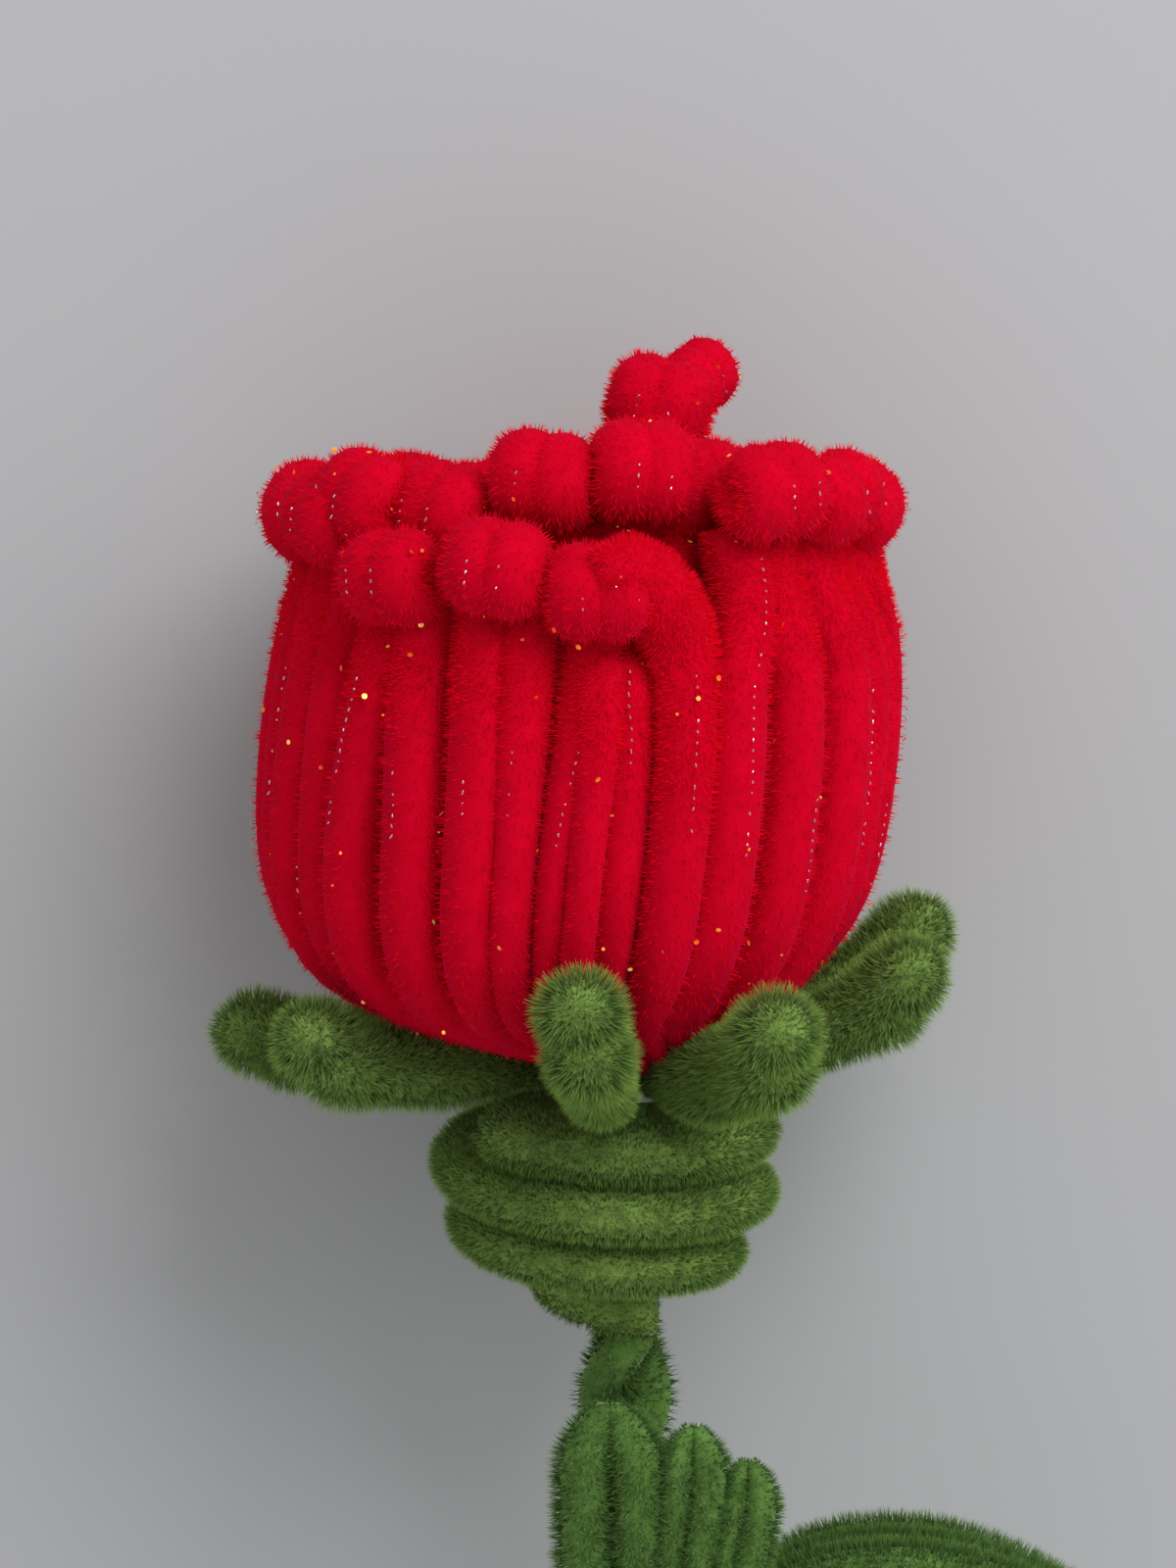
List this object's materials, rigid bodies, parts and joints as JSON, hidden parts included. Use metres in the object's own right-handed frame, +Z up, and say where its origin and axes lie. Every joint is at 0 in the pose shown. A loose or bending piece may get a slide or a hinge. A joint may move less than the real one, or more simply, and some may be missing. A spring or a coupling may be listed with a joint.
{
  "type": "chenille stem rose",
  "caption": "Handmade rose lying on its back: fluted cup of folded red chenille stems with rolled edges, green sepals, wound calyx, twisted stem and leaves.",
  "frame": {"origin": "under the middle of the rose's box, on the surface that the rose lies on", "axes": "+Y runs along the stem towards the flower, +Z is up and is the side that the flower shows in front, and +X is to the flower's right as it is seen from above"},
  "size_m": [0.0782, 0.1686, 0.0535],
  "materials": {
    "red_pile": "cut pile with fine glitter",
    "green_pile": "cut pile",
    "glue": "set hot glue, glossy"
  },
  "bodies": {
    "root": {"outer_petal_front": "red_pile", "outer_petal_right": "red_pile", "outer_petal_back": "red_pile", "outer_petal_left": "red_pile", "inner_petal_front": "red_pile", "inner_petal_right": "red_pile", "inner_petal_left": "red_pile", "centre_bud": "red_pile", "glue_joint": "glue", "sepal_front": "green_pile", "sepal_front_right": "green_pile", "sepal_right": "green_pile", "sepal_right_far": "green_pile", "sepal_back_right": "green_pile", "sepal_back_left": "green_pile", "sepal_left_far": "green_pile", "sepal_left_near": "green_pile", "calyx_wrap": "green_pile", "stem_strand_a": "green_pile", "stem_strand_b": "green_pile", "leaf_front": "green_pile", "leaf_right": "green_pile"}
  },
  "joints": []
}
